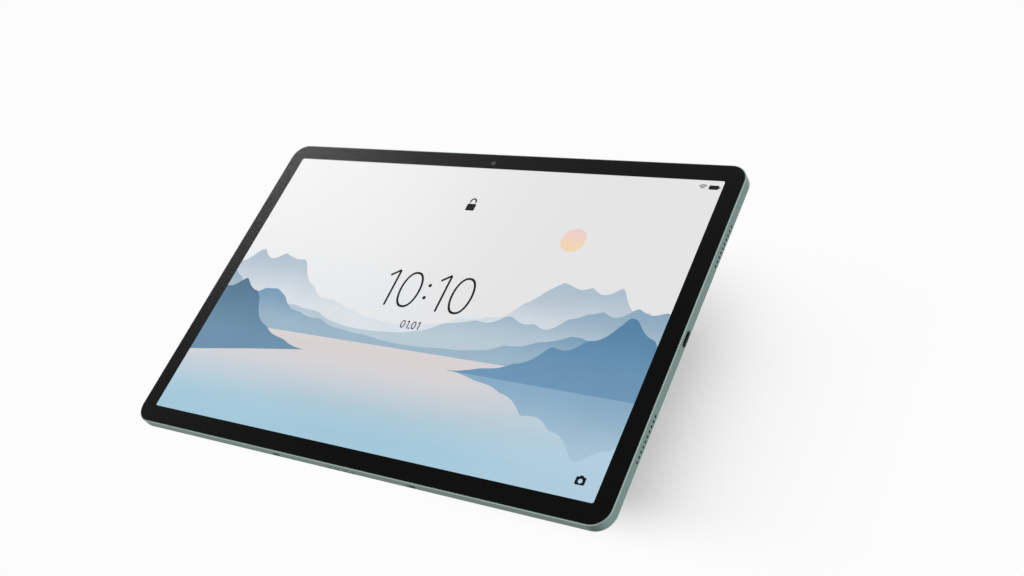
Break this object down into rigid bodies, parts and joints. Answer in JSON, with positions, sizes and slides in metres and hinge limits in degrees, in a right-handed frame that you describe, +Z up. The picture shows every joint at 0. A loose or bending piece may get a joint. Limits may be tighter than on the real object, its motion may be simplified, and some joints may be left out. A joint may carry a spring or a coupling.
{
  "type": "tablet computer",
  "caption": "Thin flat tablet computer with a glass touchscreen in a metal frame, a two-tone rear cover, a raised camera island, side speakers and a charging port.",
  "frame": {"origin": "middle of the bottom long edge, half-way through the body's thickness, with the tablet standing upright in landscape", "axes": "+X to the right as seen from the screen side, +Y from the screen back through the body, +Z up towards the front camera"},
  "size_m": [0.2936, 0.0081, 0.191],
  "materials": {
    "frame_metal": "satin green anodised",
    "cover_metal": "matte green anodised",
    "cover_band": "satin green",
    "bright_metal": "polished pale green",
    "badge": "polished",
    "camera_glass": "black gloss",
    "flash_diffuser": "clear, ribbed",
    "cover_glass": "clear gloss",
    "black_print": "black ink",
    "adhesive": "black foam tape",
    "lcd": "lit picture",
    "optical_film": "pearl",
    "light_guide": "clear",
    "led_white": "white with yellow phosphor",
    "inner_metal": "bare",
    "steel": "bare",
    "battery_foil": "black foil pouch",
    "circuit_board": "solder mask",
    "chip_black": "moulded",
    "flex_circuit": "polyimide",
    "black_plastic": "moulded",
    "cone": "film",
    "magnet": "nickel plated",
    "mesh": "woven",
    "gold": "gold plated",
    "sensor_window": "gloss"
  },
  "bodies": {
    "tablet": {"side_frame": "frame_metal", "mid_plate": "inner_metal", "rear_cover_lower": "cover_metal", "rear_cover_upper": "cover_band", "rear_cover_adhesive": "adhesive", "badge_inlay": "badge", "camera_island": "bright_metal", "lens_rings": "bright_metal", "rear_camera_window": "camera_glass", "flash_window": "flash_diffuser", "flash_led_board": "led_white", "rear_camera_housing": "black_plastic", "cover_glass": "cover_glass", "black_border_print": "black_print", "display_gasket": "adhesive", "lcd_panel": "lcd", "optical_film_stack": "optical_film", "light_guide_plate": "light_guide", "backlight_led_strip": "led_white", "backlight_tray": "inner_metal", "display_flex": "flex_circuit", "front_camera_module": "black_plastic", "battery_cell_left": "battery_foil", "battery_cell_right": "battery_foil", "battery_board": "circuit_board", "main_board": "circuit_board", "main_board_chips": "chip_black", "shield_cans": "steel", "usb_sub_board": "circuit_board", "sub_board_flex": "flex_circuit", "usb_c_shell": "steel", "usb_c_tongue": "black_plastic", "wifi_antennas": "flex_circuit", "microphones": "gold", "screws": "steel", "speaker_magnets": "magnet", "speaker_meshes": "mesh", "power_switch_board": "circuit_board", "volume_switch_board": "circuit_board", "card_reader": "steel", "keyboard_contact_carrier": "black_plastic", "keyboard_contacts": "gold", "dock_magnets": "magnet", "speaker_box_lower_right": "black_plastic", "speaker_box_upper_right": "black_plastic", "speaker_box_lower_left": "black_plastic", "speaker_box_upper_left": "black_plastic"},
    "power_button": {"power_button": "frame_metal", "fingerprint_window": "sensor_window"},
    "volume_rocker": {"volume_rocker": "frame_metal"},
    "card_tray": {"card_tray": "frame_metal"},
    "tray_eject_rod": {"tray_eject_rod": "steel"},
    "tray_eject_lever": {"tray_eject_lever": "steel"},
    "autofocus_barrel": {"autofocus_lens_barrel": "black_plastic"},
    "speaker_diaphragm_lower_right": {"speaker_diaphragm_lower_right": "cone"},
    "speaker_diaphragm_upper_right": {"speaker_diaphragm_upper_right": "cone"},
    "speaker_diaphragm_lower_left": {"speaker_diaphragm_lower_left": "cone"},
    "speaker_diaphragm_upper_left": {"speaker_diaphragm_upper_left": "cone"}
  },
  "joints": [
    {"name": "power_button_press", "type": "slide", "parent": "tablet", "child": "power_button", "axis": [1, 0, 0], "range_m": [0, 0.0003], "stiffness_N_per_m": 6000},
    {"name": "volume_rocker_tilt", "type": "hinge", "parent": "tablet", "child": "volume_rocker", "pos_m": [-0.112, 0.0003, 0.189], "axis": [0, 1, 0], "range_deg": [-1.2, 1.2], "stiffness_Nm_per_rad": 0.75},
    {"name": "card_tray_slide", "type": "slide", "parent": "tablet", "child": "card_tray", "axis": [0, 0, 1], "range_m": [0, 0.022]},
    {"name": "tray_eject_rod_slide", "type": "slide", "parent": "tablet", "child": "tray_eject_rod", "axis": [0, 0, -1], "range_m": [0, 0.0012]},
    {"name": "tray_eject_lever_turn", "type": "hinge", "parent": "tablet", "child": "tray_eject_lever", "pos_m": [0.1124, 0.0003, 0.165], "axis": [0, 1, 0], "range_deg": [0, 11.5]},
    {"name": "autofocus_travel", "type": "slide", "parent": "tablet", "child": "autofocus_barrel", "axis": [0, 1, 0], "range_m": [0, 0.0003], "stiffness_N_per_m": 200},
    {"name": "speaker_cone_lower_right", "type": "slide", "parent": "tablet", "child": "speaker_diaphragm_lower_right", "axis": [0, 1, 0], "range_m": [-0.00025, 0.00025], "stiffness_N_per_m": 1500},
    {"name": "speaker_cone_upper_right", "type": "slide", "parent": "tablet", "child": "speaker_diaphragm_upper_right", "axis": [0, 1, 0], "range_m": [-0.00025, 0.00025], "stiffness_N_per_m": 1500},
    {"name": "speaker_cone_lower_left", "type": "slide", "parent": "tablet", "child": "speaker_diaphragm_lower_left", "axis": [0, 1, 0], "range_m": [-0.00025, 0.00025], "stiffness_N_per_m": 1500},
    {"name": "speaker_cone_upper_left", "type": "slide", "parent": "tablet", "child": "speaker_diaphragm_upper_left", "axis": [0, 1, 0], "range_m": [-0.00025, 0.00025], "stiffness_N_per_m": 1500}
  ],
  "couplings": [
    {"joint": "tray_eject_lever_turn", "follows": "tray_eject_rod_slide", "rad_per_m": 160}
  ]
}
